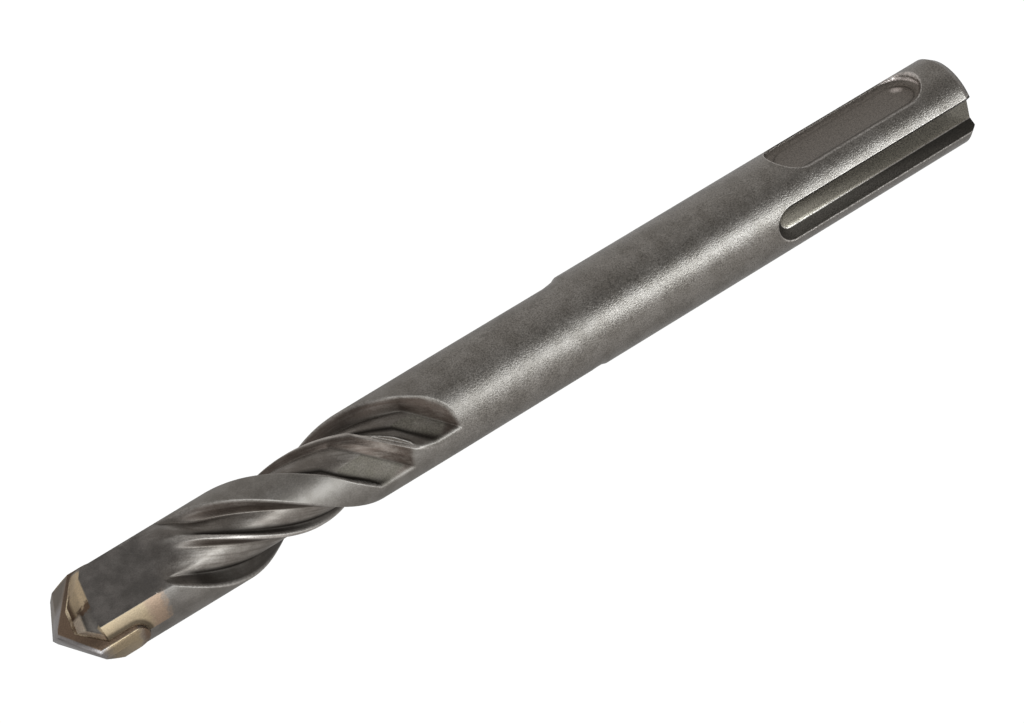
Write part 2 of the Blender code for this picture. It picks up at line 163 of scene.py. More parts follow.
def merged_copy(node, name):
    """A copy of a CAD node with its triangles joined up."""
    bpy.ops.object.select_all(action="DESELECT")
    node.select_set(True)
    bpy.context.view_layer.objects.active = node
    bpy.ops.object.duplicate()
    piece = bpy.context.view_layer.objects.active
    piece.name = name
    piece.data.name = name
    for key in list(piece.keys()):
        del piece[key]
    piece.parent = None
    piece.data.materials.clear()
    bpy.ops.object.mode_set(mode="EDIT")
    bpy.ops.mesh.select_all(action="SELECT")
    bpy.ops.mesh.remove_doubles(threshold=0.002 * MM)
    bpy.ops.object.mode_set(mode="OBJECT")
    return piece


def keep_part(piece, height, below):
    """Cut a piece level at a height, keep one side and close it."""
    bpy.ops.object.select_all(action="DESELECT")
    piece.select_set(True)
    bpy.context.view_layer.objects.active = piece
    bpy.ops.object.mode_set(mode="EDIT")
    bpy.ops.mesh.select_all(action="SELECT")
    bpy.ops.mesh.bisect(plane_co=(0.0, 0.0, height * MM), plane_no=(0.0, 0.0, 1.0), use_fill=True,
                        clear_inner=not below, clear_outer=below)
    bpy.ops.object.mode_set(mode="OBJECT")
    return piece


def helix(height):
    """Degrees that the flutes have turned at a height."""
    return DEGREES_PER_MM * (height - PHASE_HEIGHT)


def unit(angle):
    """A step of length 1 at an angle in degrees."""
    return np.array((math.cos(angle * DEG), math.sin(angle * DEG)))


def body_radius(height):
    """The body gets a little thinner from its flutes to the point."""
    share = np.clip((height - TAPER_FROM) / (OVERALL_LENGTH - TAPER_FROM), 0.0, 1.0)
    return NECK_RADIUS + (HEAD_RADIUS - NECK_RADIUS) * share


def line_point(start, pocket_angle, height, radius, angle, leaves, slope, rise=0.0):
    """Where a line along a flute is at a height: on its helix, or below the height where it leaves that,
    straight across the pocket."""
    turning = max(height, leaves)
    straight = turning - height
    moved = slope * straight * unit(pocket_angle - 90.0) + rise * straight * unit(pocket_angle)
    return radius * unit(start + angle + helix(turning)) + moved


def floor_chain(start, pocket_angle, height, foot, crease):
    """The floor from the wall's foot to the crease: the round core, or the pocket's flat that leaves it."""
    shares = np.linspace(0.0, 1.0, FLOOR_SIDES + 1)
    if height >= foot[1]:
        return [CORE_RADIUS * unit(start + foot[0] + (crease[0] - foot[0]) * share + helix(height))
                for share in shares]
    across, out = unit(pocket_angle - 90.0), unit(pocket_angle)
    near = line_point(start, pocket_angle, height, CORE_RADIUS, *foot) @ across
    far = line_point(start, pocket_angle, height, CORE_RADIUS, *crease) @ across
    chain = []
    for share in shares:
        place = near + (far - near) * share
        depth = CORE_RADIUS if place > 0.0 else math.sqrt(max(CORE_RADIUS ** 2 - place ** 2, 0.0))
        chain.append(place * across + depth * out)
    return chain


def closed_section(wall, floor, slope):
    """A flute's section: its wall, floor and sagging slope, closed by two points far outside."""
    rise = slope[0] - floor[-1]
    middle = floor[-1] + rise / 2.0 + np.array((rise[1], -rise[0])) * SLOPE_SAG
    away = slope[-1] + wall[0]
    away = away / np.linalg.norm(away) * NECK_RADIUS
    return np.array(wall + floor + [middle] + slope + [slope[-1] + away, wall[0] + away])


def wide_section(height, turned):
    """The section of a wide flute and of the ridge beside it, at a height."""
    given = (WIDE_START + turned, WIDE_POCKET_ANGLE + turned, height)
    crest_end = WIDE_WIDTH + CREST_ANGLE + CREST_OVERCUT
    on_wall = (WIDE_WALL_LEAVES, WIDE_POCKET_SLOPE)
    on_ridge = (RIDGE_LEAVES, WIDE_POCKET_SLOPE, RIDGE_RISE)
    wall = [line_point(*given, OUTER_RADIUS, -OUTER_LEAN, *on_wall),
            line_point(*given, NECK_RADIUS, 0.0, *on_wall)]
    floor = floor_chain(*given, (FOOT_ANGLE, *on_wall), (WIDE_CREASE, WIDE_CREASE_LEAVES, WIDE_POCKET_SLOPE))
    slope = [line_point(*given, RIDGE_RADIUS, WIDE_WIDTH, *on_ridge),
             line_point(*given, RIDGE_RADIUS, crest_end, *on_ridge),
             line_point(*given, OUTER_RADIUS, crest_end + RIDGE_LEAN, *on_ridge)]
    return closed_section(wall, floor, slope)


def narrow_section(height, turned):
    """The section of a narrow flute at a height, which opens out where the flute ends."""
    given = (NARROW_START + turned, NARROW_POCKET_ANGLE + turned, height)
    outer_angle = NARROW_WIDTH + NARROW_OUTER_LEAN
    on_ridge = (RIDGE_LEAVES, NARROW_RIDGE_SLOPE)
    wall = [line_point(*given, OUTER_RADIUS, CREST_ANGLE - RIDGE_LEAN, *on_ridge),
            line_point(*given, RIDGE_RADIUS, CREST_ANGLE, *on_ridge)]
    floor = floor_chain(*given, (FOOT_ANGLE, NARROW_WALL_LEAVES, NARROW_POCKET_SLOPE),
                        (NARROW_CREASE, NARROW_CREASE_LEAVES, NARROW_POCKET_SLOPE))
    edge = (NARROW_EDGE_LEAVES, NARROW_EDGE_SLOPE, NARROW_EDGE_RISE)
    outer = (NARROW_EDGE_LEAVES, NARROW_OUTER_SLOPE, NARROW_EDGE_RISE)
    slope = [line_point(*given, NECK_RADIUS, NARROW_WIDTH, *edge),
             line_point(*given, OUTER_RADIUS, outer_angle, *outer)]
    share = max(height - NARROW_TOP + RUNOUT_LENGTH, 0.0) / RUNOUT_LENGTH
    return closed_section(wall, floor, slope) * (1.0 + RUNOUT_GROWTH * share ** 2)


def cut_radius(section, angles, radius):
    """The radius left at each angle when a closed section is cut from a round bar."""
    along = np.roll(section, -1, axis=0) - section
    ray_x, ray_y = np.cos(angles)[:, None], np.sin(angles)[:, None]
    cross = ray_x * along[:, 1] - ray_y * along[:, 0]
    cross = np.where(np.abs(cross) < 1e-9, 1e-9, cross)
    reach = (section[:, 0] * along[:, 1] - section[:, 1] * along[:, 0]) / cross
    share = (section[:, 0] * ray_y - section[:, 1] * ray_x) / cross
    hit = (share >= 0.0) & (share < 1.0) & (reach > 0.0)
    inside = np.sum(hit & (reach > radius), axis=1) % 2 == 1
    deepest = np.max(np.where(hit & (reach <= radius), reach, 0.0), axis=1)
    return np.where(inside & (deepest > 0.0), deepest, radius)


def soften(field, spread, axis):
    """A field blurred along one axis by a bell of this spread in grid steps. Columns go round."""
    reach = max(int(3.0 * spread), 1)
    offsets = np.arange(-reach, reach + 1)
    weights = np.exp(-0.5 * (offsets / spread) ** 2)
    weights /= weights.sum()
    total = np.zeros_like(field)
    for offset, weight in zip(offsets, weights):
        index = np.arange(field.shape[axis]) + offset
        index = index % COLUMNS if axis == 1 else np.clip(index, 0, ROWS - 1)
        total += weight * np.take(field, index, axis=axis)
    return total


def soften_both(field, millimetres):
    """A field blurred by the same distance along and round the body."""
    round_step = math.tau * RIDGE_RADIUS / COLUMNS
    up_step = (FLUTES_TO - FLUTES_FROM) / (ROWS - 1)
    return soften(soften(field, millimetres / round_step, 1), millimetres / up_step, 0)


def after(angles, section, index):
    """Degrees from a point of a section on to each column, from -180 to 180."""
    point = math.atan2(section[index][1], section[index][0]) / DEG
    return (angles / DEG - point + 180.0) % 360.0 - 180.0


def flute_fields(heights, base):
    """The body's radius over its height and angle, and how much of each place is a pocket's floor, painted
    shade and dirt in a flute, a flute's slope, or the ridge's crest, which gets a painted highlight."""
    radii = np.empty((ROWS, COLUMNS))
    floors = np.zeros((ROWS, COLUMNS))
    feet = np.zeros((ROWS, COLUMNS))
    slopes = np.zeros((ROWS, COLUMNS))
    ridges = np.zeros((ROWS, COLUMNS))
    for row, height in enumerate(heights):
        angles = (base + helix(height)) * DEG
        solid = body_radius(height)
        left = np.full(COLUMNS, solid)
        for turned in (0.0, 180.0):
            for section, top in ((wide_section(height, turned), WIDE_TOP),
                                 (narrow_section(height, turned), NARROW_TOP)):
                shown = np.clip((top - MARKS_END - height) / MARKS_FADE, 0.0, 1.0)
                # Painted shade and dirt: round the wall's foot, over the wall and in the crease
                gap = (after(angles, section, FOOT_POINT) - FOOT_SHIFT) * CORE_RADIUS * DEG
                feet[row] = np.maximum(feet[row], shown * np.exp(-(gap / FOOT_REACH) ** 2))
                past_edge = after(angles, section, EDGE_POINT) > 0.0
                on_wall = past_edge & (gap < 0.0) & (gap > -WALL_REACH)
                wall_shade_and_dirt = np.interp(height, WALL_SHADE_AND_DIRT_HEIGHTS, WALL_SHADE_AND_DIRT)
                feet[row] = np.maximum(feet[row], shown * wall_shade_and_dirt * on_wall)
                past_crease = after(angles, section, CREASE_POINT)
                past_slope = after(angles, section, SLOPE_POINT)
                crease_shade_and_dirt = np.interp(height, CREASE_SHADE_AND_DIRT_HEIGHTS, CREASE_SHADE_AND_DIRT)
                feet[row] = np.maximum(feet[row], crease_shade_and_dirt * np.exp(-(past_crease / CREASE_REACH) ** 2))
                on_slope = (past_crease > 0.0) & (past_slope < 0.0) & (past_crease < WIDEST_SLOPE)
                slopes[row] = np.maximum(slopes[row], shown * on_slope)
                # The wide ridge's crest, which gets a painted highlight
                before_end = after(angles, section, RIDGE_POINT) < 0.0
                on_ridge = (past_slope > 0.0) & before_end & (top == WIDE_TOP)
                ridges[row] = np.maximum(ridges[row], shown * on_ridge)
            if height < WIDE_TOP:
                left = np.minimum(left, cut_radius(wide_section(height, turned), angles, solid))
            if height < NARROW_TOP:
                left = np.minimum(left, cut_radius(narrow_section(height, turned), angles, solid))
            limit = HEAD_FLAT_RADIUS + max(HEAD_FLAT_FROM - height, 0.0) / HEAD_FLAT_RUNOUT
            facing = np.maximum(np.cos(angles - (HEAD_FLAT_ANGLE + turned) * DEG), 0.1)
            left = np.minimum(left, limit / facing)
            for pocket, top, end, lean in POCKETS:
                out = left * np.cos(angles - (pocket + turned) * DEG)
                across = left * np.sin((pocket + turned) * DEG - angles)
                on_level = np.abs(out - CORE_RADIUS) < FLOOR_TOLERANCE
                flat = on_level & (across > -FLOOR_BEHIND) & (height < top)
                clean = np.clip((height - end - lean * across) / CLEAN_FADE + 0.5, 0.0, 1.0)
                floors[row] = np.maximum(floors[row], flat * clean)
                slopes[row] = np.maximum(slopes[row], flat * (1.0 - clean))
        radii[row] = left
    return radii, floors, feet, slopes, ridges


def make_fluted_part(heights, base, radii):
    """A grid wrapped round the body, with columns that twist as the flutes do, closed at both ends."""
    bpy.ops.object.select_all(action="DESELECT")
    bpy.ops.mesh.primitive_grid_add(x_subdivisions=COLUMNS, y_subdivisions=ROWS - 1)
    piece = bpy.context.view_layer.objects.active
    turned = (np.append(base, 360.0)[None, :] + helix(heights)[:, None]) * DEG
    wrapped = np.concatenate((radii, radii[:, :1]), axis=1)
    points = np.empty((ROWS, COLUMNS + 1, 3))
    points[..., 0] = BODY_CENTRE[0] + wrapped * np.cos(turned)
    points[..., 1] = BODY_CENTRE[1] + wrapped * np.sin(turned)
    points[..., 2] = heights[:, None]
    piece.data.vertices.foreach_set("co", (points * MM).astype(np.float32).ravel())
    bpy.ops.object.mode_set(mode="EDIT")
    bpy.ops.mesh.select_all(action="SELECT")
    bpy.ops.mesh.remove_doubles(threshold=0.0005 * MM)
    bpy.ops.mesh.fill_holes(sides=0)
    bpy.ops.mesh.normals_make_consistent(inside=False)
    bpy.ops.object.mode_set(mode="OBJECT")
    return piece


def join_solids(piece, others):
    """Make one closed body of a piece and the ones that meet it."""
    bpy.context.view_layer.objects.active = piece
    for other in others:
        modifier = piece.modifiers.new("join", "BOOLEAN")
        modifier.operation = "UNION"
        modifier.solver = "EXACT"
        modifier.object = other
        bpy.ops.object.modifier_apply(modifier=modifier.name)
        bpy.data.objects.remove(other, do_unlink=True)


def add_field(mesh, name, field, heights):
    """Write a field of the fluted part onto the mesh's points."""
    points = np.empty(len(mesh.vertices) * 3, dtype=np.float32)
    mesh.vertices.foreach_get("co", points)
    points = points.reshape(-1, 3) / MM
    angle = np.degrees(np.arctan2(points[:, 1] - BODY_CENTRE[1], points[:, 0] - BODY_CENTRE[0]))
    column = (angle - helix(points[:, 2])) % 360.0 / 360.0 * COLUMNS
    row = (points[:, 2] - heights[0]) / (heights[-1] - heights[0]) * (ROWS - 1)
    row = np.clip(row, 0.0, ROWS - 1.001)
    low_row, low_column = row.astype(int), np.floor(column).astype(int)
    up, over = row - low_row, column - low_column
    left, right = low_column % COLUMNS, (low_column + 1) % COLUMNS
    below = field[low_row, left] * (1.0 - over) + field[low_row, right] * over
    above = field[low_row + 1, left] * (1.0 - over) + field[low_row + 1, right] * over
    inside = (points[:, 2] > FLUTES_FROM) & (points[:, 2] < FLUTES_TO)
    values = np.where(inside, below + (above - below) * up, 0.0)
    attribute = mesh.attributes.new(name, "FLOAT", "POINT")
    attribute.data.foreach_set("value", values.astype(np.float32))


SHARP_ANGLE = 38.0
JOINT_REACH = 0.1
EDGE_TOLERANCE = 0.02
ROUND_TOLERANCE = 0.06
CLEAR_OF_RUNOUT = 1.5
FACING_FLAT = 0.9
LEAST_SLOPE = 0.05


def finish_normals(mesh):
    """Smooth shading with sharp edges outside the flutes, and true round normals on turned surfaces."""
    mesh.shade_smooth()
    mesh.set_sharp_from_angle(angle=SHARP_ANGLE * DEG)
    sharp = mesh.attributes["sharp_edge"].data
    for edge in mesh.edges:
        heights = [mesh.vertices[index].co.z / MM for index in edge.vertices]
        if min(heights) > FLUTES_FROM + EDGE_TOLERANCE and max(heights) < FLUTES_TO - EDGE_TOLERANCE:
            sharp[edge.index].value = False
    normals = [corner.vector.copy() for corner in mesh.corner_normals]
    body_axis = Vector((*BODY_CENTRE, 0.0)) * MM
    across_flats = Vector((*unit(HEAD_FLAT_ANGLE), 0.0))
    for polygon in mesh.polygons:
        height = polygon.center.z / MM
        out = (polygon.center - body_axis).dot(across_flats) / MM
        in_flat = abs(abs(out) - HEAD_FLAT_RADIUS) < EDGE_TOLERANCE
        if height > HEAD_FLAT_FROM + CLEAR_OF_RUNOUT and in_flat:
            if abs(polygon.normal.dot(across_flats)) > FACING_FLAT:
                for loop in polygon.loop_indices:
                    normals[loop] = across_flats * math.copysign(1.0, out)
                continue
        at_joint = min(abs(height - FLUTES_FROM), abs(height - FLUTES_TO)) < JOINT_REACH
        on_flutes = FLUTES_FROM < height < FLUTES_TO and not at_joint
        on_step = NECK_FROM - NECK_STEP_LENGTH < height < NECK_FROM
        if on_flutes or on_step:
            continue
        shank = height < NECK_FROM
        axis = Vector((0.0, 0.0, 0.0)) if shank else body_axis
        away = Vector((polygon.center.x, polygon.center.y, 0.0)) - axis
        radius = SHANK_RADIUS if shank else float(body_radius(height))
        off_round = away.length < (radius - ROUND_TOLERANCE) * MM
        sloping = abs(polygon.normal.z) > LEAST_SLOPE and not at_joint
        if off_round or sloping:
            continue
        for loop in polygon.loop_indices:
            point = mesh.vertices[mesh.loops[loop].vertex_index].co
            normals[loop] = Vector((point.x - axis.x, point.y - axis.y, 0.0)).normalized()
    mesh.normals_split_custom_set(normals)


def smooth_share(value, low, high):
    """0 below a limit and 1 above another, with an even bend between them."""
    share = np.clip((value - low) / (high - low), 0.0, 1.0)
    return share * share * (3.0 - 2.0 * share)


def fade_share(value, low, high):
    """1 below a limit and 0 above another, with an even bend between them."""
    return smooth_share(-value, -high, -low)


heights = np.linspace(FLUTES_FROM, FLUTES_TO, ROWS)
base = np.arange(COLUMNS) * 360.0 / COLUMNS
cut_radii, floors, feet, slopes, ridges = flute_fields(heights, base)
inner_rows = smooth_share(heights, *ROUNDING_STARTS) * fade_share(heights, *ROUNDING_ENDS)
radii = cut_radii + (soften_both(cut_radii, EDGE_ROUNDING) - cut_radii) * inner_rows[:, None]

# The flutes run out into the head's flats without a corner
runout_rows = smooth_share(heights, *RUNOUT_STARTS) * fade_share(heights, *RUNOUT_ENDS)
facing = np.abs(np.cos((base[None, :] + helix(heights)[:, None] - HEAD_FLAT_ANGLE) * DEG))
blend = runout_rows[:, None] * smooth_share(facing, *RUNOUT_FACING)
levelled = np.maximum(facing, LEAST_FACING)
radii += (soften_both(cut_radii * levelled, RUNOUT_ROUNDING) / levelled - radii) * blend
steel = make_fluted_part(heights, base, radii)
steel.name = "bit_steel"
steel.data.name = "bit_steel"
shank_part = keep_part(merged_copy(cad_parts["steel_body"], "shank_part"), FLUTES_FROM, True)
head_part = keep_part(merged_copy(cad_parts["steel_body"], "head_part"), FLUTES_TO, False)
join_solids(steel, (shank_part, head_part))

# Fields for the material: how far a place is cut in, the parts of the flutes, and the edges that stand
# out from their surroundings
below_body = np.clip((body_radius(heights)[:, None] - CUT_FROM - radii) / CUT_FADE, 0.0, 1.0)
off_runout = below_body * (1.0 - blend)
add_field(steel.data, "flute", below_body * fade_share(heights, *FLUTE_TONE_ENDS)[:, None], heights)
add_field(steel.data, "floor", soften_both(floors, FLOOR_BLUR), heights)
add_field(steel.data, "foot", feet * off_runout, heights)
add_field(steel.data, "slope", soften_both(slopes, SLOPE_BLUR) * off_runout, heights)
add_field(steel.data, "ridge", soften_both(ridges, RIDGE_BLUR), heights)
standing_out = radii - soften_both(radii, CREST_BLUR)
add_field(steel.data, "crest", np.clip(standing_out / CREST_HEIGHT - 0.3, 0.0, 1.0), heights)
finish_normals(steel.data)


def new_material(name, metallic, roughness):
    """A material with its Principled shader, returned with its nodes and links."""
    material = bpy.data.materials.new(name)
    material.use_nodes = True
    shader = material.node_tree.nodes["Principled BSDF"]
    shader.inputs["Metallic"].default_value = metallic
    shader.inputs["Roughness"].default_value = roughness
    return material, material.node_tree, shader


def name_sockets(group, inputs, outputs):
    """Name the sockets of a node group. An input is (name, default value)."""
    for name, value in inputs:
        kind = "NodeSocketColor" if isinstance(value, tuple) else "NodeSocketFloat"
        socket = group.interface.new_socket(name=name, in_out="INPUT", socket_type=kind)
        socket.default_value = (*value, 1.0) if isinstance(value, tuple) else value
    for name, kind in outputs:
        group.interface.new_socket(name=name, in_out="OUTPUT", socket_type=kind)
    return group.nodes.new("NodeGroupInput").outputs, group.nodes.new("NodeGroupOutput").inputs


def feed(tree, socket, value):
    """Give a socket a number, a colour or a link."""
    if isinstance(value, tuple):
        socket.default_value = (*value, 1.0) if len(socket.default_value) == 4 else value
    elif isinstance(value, (int, float)):
        socket.default_value = value
    else:
        tree.links.new(value, socket)


def calc(tree, operation, first, second=0.0, third=0.0):
    """A sum in the shader, not clamped."""
    node = tree.nodes.new("ShaderNodeMath")
    node.operation = operation
    for socket, value in zip(node.inputs, (first, second, third)):
        feed(tree, socket, value)
    return node.outputs["Value"]


def add_noise(tree, place, scale, detail=3.0, roughness=0.55):
    """A noise over a place in millimetres."""
    noise = tree.nodes.new("ShaderNodeTexNoise")
    noise.inputs["Scale"].default_value = scale
    noise.inputs["Detail"].default_value = detail
    noise.inputs["Roughness"].default_value = roughness
    tree.links.new(place, noise.inputs["Vector"])
    return noise.outputs["Fac"]


def add_range(tree, value, low, high, to_low=0.0, to_high=1.0):
    """A value mapped from one range to another, clamped."""
    mapped = tree.nodes.new("ShaderNodeMapRange")
    mapped.clamp = True
    feed(tree, mapped.inputs["Value"], value)
    for name, number in (("From Min", low), ("From Max", high), ("To Min", to_low), ("To Max", to_high)):
        feed(tree, mapped.inputs[name], number)
    return mapped.outputs["Result"]


def between(tree, value, low, high, soft):
    """1 where a value lies between two limits, with soft edges."""
    rising = add_range(tree, value, low - soft, low + soft)
    falling = add_range(tree, value, high - soft, high + soft, 1.0, 0.0)
    return calc(tree, "MULTIPLY", rising, falling)


def all_of(tree, *masks):
    """The product of some masks."""
    total = masks[0]
    for mask in masks[1:]:
        total = calc(tree, "MULTIPLY", total, mask)
    return total


def length(tree, first, second):
    """The length of a step that has these two parts."""
    squares = calc(tree, "ADD", calc(tree, "MULTIPLY", first, first), calc(tree, "MULTIPLY", second, second))
    return calc(tree, "SQRT", squares)


def add_mix(tree, factor, first, second):
    """Two colours mixed by a factor."""
    mix = tree.nodes.new("ShaderNodeMix")
    mix.data_type = "RGBA"
    feed(tree, mix.inputs["Factor"], factor)
    for name, colour in (("A", first), ("B", second)):
        feed(tree, next(s for s in mix.inputs if s.name == name and s.type == "RGBA"), colour)
    return next(s for s in mix.outputs if s.type == "RGBA")


def add_millimetres(tree):
    """Object coordinates in millimetres."""
    coordinates = tree.nodes.new("ShaderNodeTexCoord")
    scaled = tree.nodes.new("ShaderNodeVectorMath")
    scaled.operation = "SCALE"
    scaled.inputs["Scale"].default_value = 1.0 / MM
    tree.links.new(coordinates.outputs["Object"], scaled.inputs[0])
    return scaled.outputs["Vector"]


def split(tree, place):
    """The three parts of a place."""
    parts = tree.nodes.new("ShaderNodeSeparateXYZ")
    tree.links.new(place, parts.inputs["Vector"])
    return parts.outputs["X"], parts.outputs["Y"], parts.outputs["Z"]


def read_field(tree, name):
    """A field of the mesh, written on its points."""
    node = tree.nodes.new("ShaderNodeAttribute")
    node.attribute_name = name
    return node.outputs["Fac"]


def place_group(tree, group):
    """A node that puts a group into a material."""
    node = tree.nodes.new("ShaderNodeGroup")
    node.node_tree = group
    return node


EDGE_BEVEL = 0.05
BEVEL_SAMPLES = 6
PIT_DEPTH = 0.05


def make_grain_group():
    """Blasted metal: fine even pits and specks, over soft cloudy patches of two colours."""
    group = bpy.data.node_groups.new("blasted_grain", "ShaderNodeTree")
    inputs = [("Light", STEEL_LIGHT), ("Dark", STEEL_DARK), ("Roughness", STEEL_ROUGHNESS), ("Depth", 0.5),
              ("Speckle", 0.3)]
    outputs = [("Color", "NodeSocketColor"), ("Roughness", "NodeSocketFloat"), ("Normal", "NodeSocketVector")]
    given, result = name_sockets(group, inputs, outputs)
    place = add_millimetres(group)
    clouds = add_noise(group, place, scale=0.5, detail=4.0)
    pits = add_noise(group, place, scale=7.0, detail=2.0, roughness=0.6)
    cloudy = add_range(group, clouds, 0.38, 0.62)
    colour = add_mix(group, cloudy, given["Dark"], given["Light"])
    lighter = add_range(group, pits, 0.32, 0.68, -1.0, 1.0)
    speck = calc(group, "MULTIPLY_ADD", lighter, given["Speckle"], 1.0)
    tinted = group.nodes.new("ShaderNodeVectorMath")
    tinted.operation = "SCALE"
    group.links.new(colour, tinted.inputs[0])
    group.links.new(speck, tinted.inputs["Scale"])
    group.links.new(tinted.outputs["Vector"], result["Color"])
    uneven = add_range(group, pits, 0.3, 0.7, -0.04, 0.05)
    group.links.new(calc(group, "ADD", given["Roughness"], uneven), result["Roughness"])
    edges = group.nodes.new("ShaderNodeBevel")
    edges.samples = BEVEL_SAMPLES
    edges.inputs["Radius"].default_value = EDGE_BEVEL * MM
    bump = group.nodes.new("ShaderNodeBump")
    bump.inputs["Distance"].default_value = PIT_DEPTH * MM
    group.links.new(edges.outputs["Normal"], bump.inputs["Normal"])
    group.links.new(given["Depth"], bump.inputs["Strength"])
    group.links.new(pits, bump.inputs["Height"])
    group.links.new(bump.outputs["Normal"], result["Normal"])
    return group


# The plate's angle about the axis, half of its slot's width, and the height of the slot's round foot
PLATE_ANGLE = -17.0
SLOT_HALF = 1.645
SLOT_ROUND_CENTRE = 103.945


def make_head_group():
    """Where a place is in the head's own frame, the same on both sides of the plate: how far across the
    plate's faces, how far out from its middle, and how far outside its slot."""
    group = bpy.data.node_groups.new("head_place", "ShaderNodeTree")
    outputs = [("Across", "NodeSocketFloat"), ("Out", "NodeSocketFloat"), ("Slot", "NodeSocketFloat")]
    given, result = name_sockets(group, [], outputs)
    place = add_millimetres(group)
    x, y, z = split(group, place)
    x = calc(group, "SUBTRACT", x, BODY_CENTRE[0])
    y = calc(group, "SUBTRACT", y, BODY_CENTRE[1])
    cosine, sine = math.cos(PLATE_ANGLE * DEG), math.sin(PLATE_ANGLE * DEG)
    across = calc(group, "ADD", calc(group, "MULTIPLY", x, cosine), calc(group, "MULTIPLY", y, sine))
    out = calc(group, "SUBTRACT", calc(group, "MULTIPLY", y, cosine), calc(group, "MULTIPLY", x, sine))
    group.links.new(calc(group, "MULTIPLY", across, calc(group, "SIGN", out)), result["Across"])
    group.links.new(calc(group, "ABSOLUTE", out), result["Out"])
    behind = calc(group, "MINIMUM", calc(group, "SUBTRACT", z, SLOT_ROUND_CENTRE), 0.0)
    group.links.new(calc(group, "SUBTRACT", length(group, out, behind), SLOT_HALF), result["Slot"])
    return group


grain = make_grain_group()
head_place = make_head_group()


def finish_shader(tree, shader, light, dark, roughness, depth, speckle):
    """Lay the grain over a material's colours."""
    grained = place_group(tree, grain)
    for name, value in (("Light", light), ("Dark", dark), ("Roughness", roughness), ("Depth", depth),
                        ("Speckle", speckle)):
        feed(tree, grained.inputs[name], value)
    tree.links.new(grained.outputs["Color"], shader.inputs["Base Color"])
    tree.links.new(grained.outputs["Roughness"], shader.inputs["Roughness"])
    tree.links.new(grained.outputs["Normal"], shader.inputs["Normal"])


FLUTE_LIGHT = (0.350, 0.318, 0.285)
FLUTE_DARK = (0.205, 0.180, 0.157)
SLOPE_LIGHT = (0.190, 0.162, 0.140)
SLOPE_BROWN = (0.105, 0.082, 0.068)
RIDGE_HIGHLIGHT = (0.640, 0.590, 0.540)
POCKET_FLOOR = (0.175, 0.158, 0.129)
HOLLOW_SHADE_AND_DIRT = (0.022, 0.018, 0.015)
WORN_EDGE_AND_HIGHLIGHT = (0.58, 0.54, 0.50)
HEAD_GREY = (0.210, 0.192, 0.177)
HEAD_DARK = (0.138, 0.126, 0.116)
LOCK_FLOOR_SHADE = (0.200, 0.175, 0.152)
PAINTED_GLINT = (0.950, 0.840, 0.780)
DRIVE_FLOOR = (0.420, 0.390, 0.325)
DRIVE_WALL_SHADE_AND_DIRT = (0.045, 0.040, 0.034)
GOLD_STAIN = (0.450, 0.355, 0.235)
CHEEK_GOLD = (0.640, 0.500, 0.330)
PINK_STAIN = (0.400, 0.290, 0.210)
BROWN_STAIN = (0.160, 0.100, 0.062)
DARK_STAIN_AND_SHADE = (0.150, 0.118, 0.080)
PALE_STAIN_AND_HIGHLIGHT = (1.000, 0.860, 0.700)

# The shank's grooves, as in the solid: half widths, the centres of their round ends, and the heights
# over which their marks end
LOCK_HALF = 2.975
LOCK_LOW = 6.425
LOCK_HIGH = 19.825
DRIVE_FLOOR_HALF = 1.05
DRIVE_MOUTH_HALF = 2.075
DRIVE_ROUND_FROM = 24.125
GROOVES_END = (30.0, 31.0)

# Limits of the painted shade, painted highlights and worn lips in a locking groove, in millimetres from
# its outline, then across the shank and up it. A mark rises or falls between two numbers, or lies
# between them and ends as softly as a third.
IN_LOCK = (-0.10, -0.04)
FOOT_BAND = (-0.98, -0.78, 0.08)
LIP_BAND = (-0.06, 0.09, 0.04)
FAR_RIM_SHADE_BAND = (-0.16, 0.10, 0.04)
END_WALL_FROM = (-0.2, -0.06)
END_WALL_TO = (0.02, 0.05)
NEAR_RIM = (-2.4, -1.6)
FAR_RIM = (-2.9, -2.6)
GLINT_HEIGHT = 5.35
GLINT_SIDE = -0.98
GLINT_LEAN = 0.3
GLINT_REACH = (0.15, 0.72)
END_GLINT_ACROSS = (0.3, 1.2)
END_GLINT_OUT = (3.75, 3.95)
END_GLINT_TO = (5.6, 6.4)

# Limits of the head's tone and stains, of the painted shade round the slot and of the painted highlight
# on the cheeks, in the same way: heights, and distances across and out from the plate
STAIN_RAGGED_BY = 1.6
HEAD_TONE_FROM = (94.0, 99.0)
HEAD_TONE_OUT = (2.6, 2.9)
NEAR_SIDE = (2.6, 3.2)
FLAT_EDGE = (2.90, 2.95)
CHEEK_EDGE = (2.84, 2.93)
ROUND_FROM = (4.25, 4.45)
ROUND_RIM = (4.40, 4.55)
SIDE_GOLD_FROM = (100.4, 102.0)
SIDE_PINK = (100.0, 101.8, 0.4)
SLOT_SHADE = (-0.1, 0.38, 0.12)
SLOT_SHADE_FROM = (101.0, 101.5)
CHEEK_FROM = (104.6, 105.0)
CHEEK_GOLD_TO = (0.1, 0.4)
CHEEK_BROWN = (0.15, 1.0, 0.2)
LOW_BROWN = (-2.0, 0.45, 0.2)
LOW_BROWN_OUT = (1.8, 2.0)
PALE_FROM = (0.3, 0.7)
PALE_OUT = (2.08, 2.22)

# Roughness on the shank and the neck, what the fluted part, a dull place and a flute add to it, and the
# grain's depth and specks, each on the blasted steel and on the milled
SHANK_TO_NECK = (47.0, 50.0)
SHANK_ROUGHNESS = 0.30
NECK_ROUGHNESS = 0.38
ROUGHER_FROM = (62.0, 70.0)
FLUTED_ROUGHER = 0.10
DULL_ROUGHER = 0.16
FLUTE_DULLNESS = -0.35
MILLED_FROM = (64.0, 72.0)
GRAIN_DEPTHS = (0.7, 0.25)
GRAIN_SPECKS = (0.36, 0.14)
POCKET_SPECKS = 0.14

